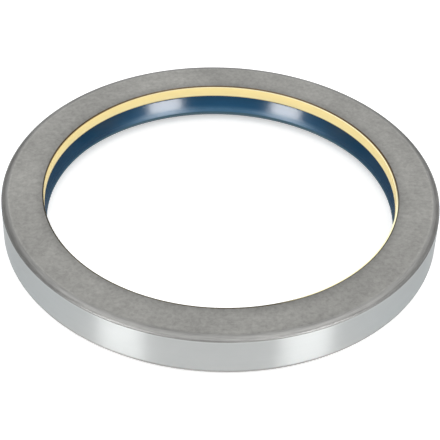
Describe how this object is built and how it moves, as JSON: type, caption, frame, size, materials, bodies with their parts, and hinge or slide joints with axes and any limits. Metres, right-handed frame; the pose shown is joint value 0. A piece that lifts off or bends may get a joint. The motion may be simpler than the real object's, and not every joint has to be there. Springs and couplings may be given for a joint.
{
  "type": "differential oil seal",
  "caption": "Radial shaft seal for a differential: a flat steel cup holding a yellow dirt ring and a blue sprung rubber lip round an open bore.",
  "frame": {"origin": "centre of the seal's axis at the underside of the case's bent rim, the oil side", "axes": "+Z along the axis, from the oil side towards the flange and the dirt side"},
  "size_m": [0.16, 0.16, 0.016],
  "materials": {
    "ground_steel": "dull grey drawn sheet on the flange and shoulder, ground bright on the outside wall",
    "yellow_polyurethane": "smooth satin polyurethane",
    "blue_nitrile": "smooth moulded rubber with a wet-looking gloss",
    "drawn_steel": "dull drawn sheet steel",
    "spring_steel": "bright drawn wire, closely wound"
  },
  "bodies": {
    "root": {"outer_case": "ground_steel", "excluder_ring": "yellow_polyurethane", "sealing_lip": "blue_nitrile", "stiffener_ring": "drawn_steel", "garter_spring": "spring_steel"}
  },
  "joints": []
}
